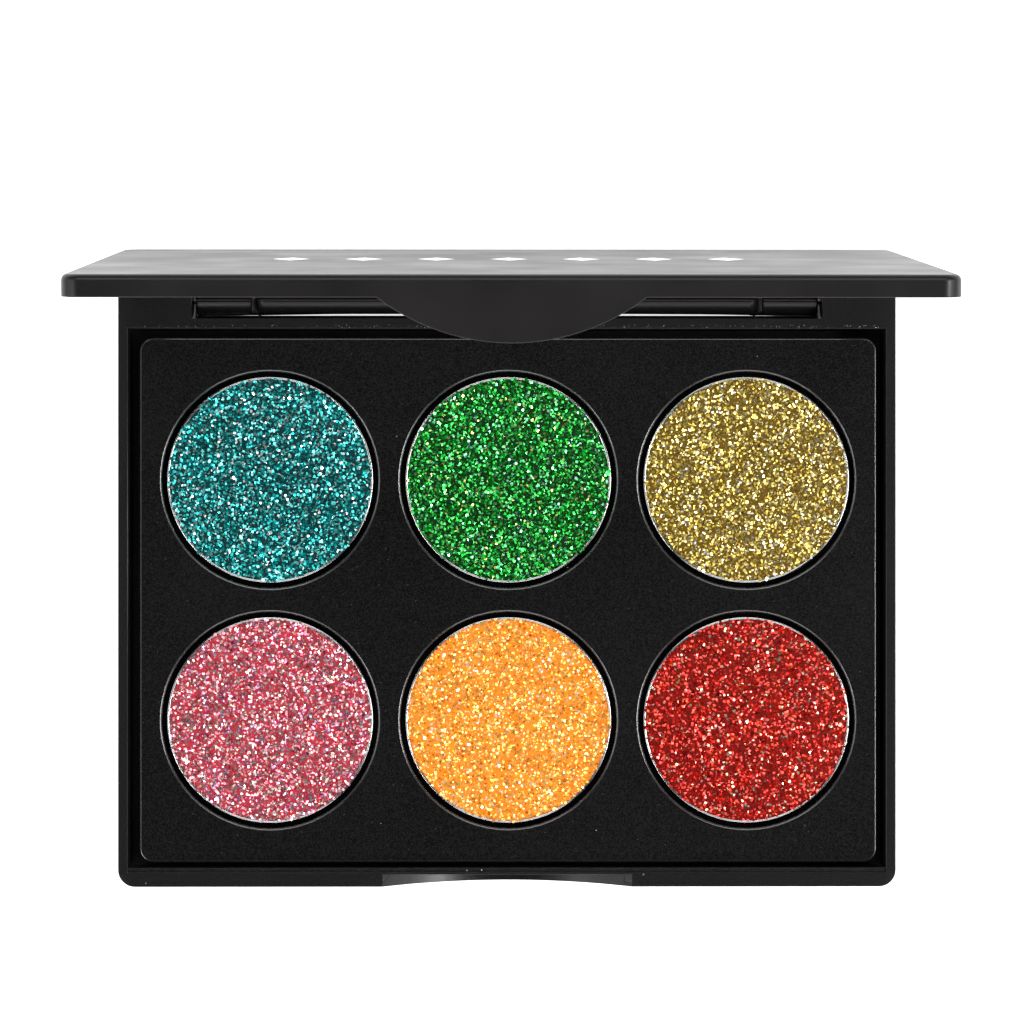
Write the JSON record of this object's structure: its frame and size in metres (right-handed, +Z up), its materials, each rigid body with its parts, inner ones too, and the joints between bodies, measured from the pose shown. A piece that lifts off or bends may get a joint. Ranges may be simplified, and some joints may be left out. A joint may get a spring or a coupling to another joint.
{
  "type": "eyeshadow palette",
  "caption": "Rectangular hinged makeup compact, open, with round metal pans of pressed glitter set in a black deck and a mirror inside the lid.",
  "frame": {"origin": "centre of the tray's underside", "axes": "+X along the hinge, -Y towards the user, +Z up out of the tray; the lid stands open"},
  "size_m": [0.0976, 0.0805, 0.0797],
  "materials": {
    "black_plastic": "fine satin moulded black",
    "deck_plastic": "satin moulded black with polished wells",
    "pin_steel": "drawn wire",
    "pan_tin": "bright tinplate",
    "glue": "set hot-melt adhesive",
    "foam_tape": "double-sided foam tape",
    "mirror_glass": "silvered glass",
    "glitter_teal": "pressed teal glitter, coarse metallised flakes",
    "glitter_green": "pressed green glitter, coarse metallised flakes",
    "glitter_gold": "pressed gold glitter, coarse metallised flakes",
    "glitter_pink": "pressed pink glitter, coarse metallised flakes",
    "glitter_orange": "pressed orange glitter, coarse metallised flakes",
    "glitter_red": "pressed red glitter, coarse metallised flakes"
  },
  "bodies": {
    "base": {"base_tray": "black_plastic", "hinge_pin_left": "pin_steel", "hinge_pin_right": "pin_steel", "pan_deck": "deck_plastic", "glue_dot_teal": "glue", "pan_teal": "pan_tin", "glitter_teal": "glitter_teal", "glue_dot_green": "glue", "pan_green": "pan_tin", "glitter_green": "glitter_green", "glue_dot_gold": "glue", "pan_gold": "pan_tin", "glitter_gold": "glitter_gold", "glue_dot_pink": "glue", "pan_pink": "pan_tin", "glitter_pink": "glitter_pink", "glue_dot_orange": "glue", "pan_orange": "pan_tin", "glitter_orange": "glitter_orange", "glue_dot_red": "glue", "pan_red": "pan_tin", "glitter_red": "glitter_red"},
    "lid": {"lid_shell": "black_plastic", "mirror_tape": "foam_tape", "mirror": "mirror_glass"}
  },
  "joints": [
    {"name": "lid_hinge", "type": "hinge", "parent": "base", "child": "lid", "pos_m": [0, 0.03525, 0.0055], "axis": [-1, 0, 0], "range_deg": [-84.25, 25.75]}
  ]
}
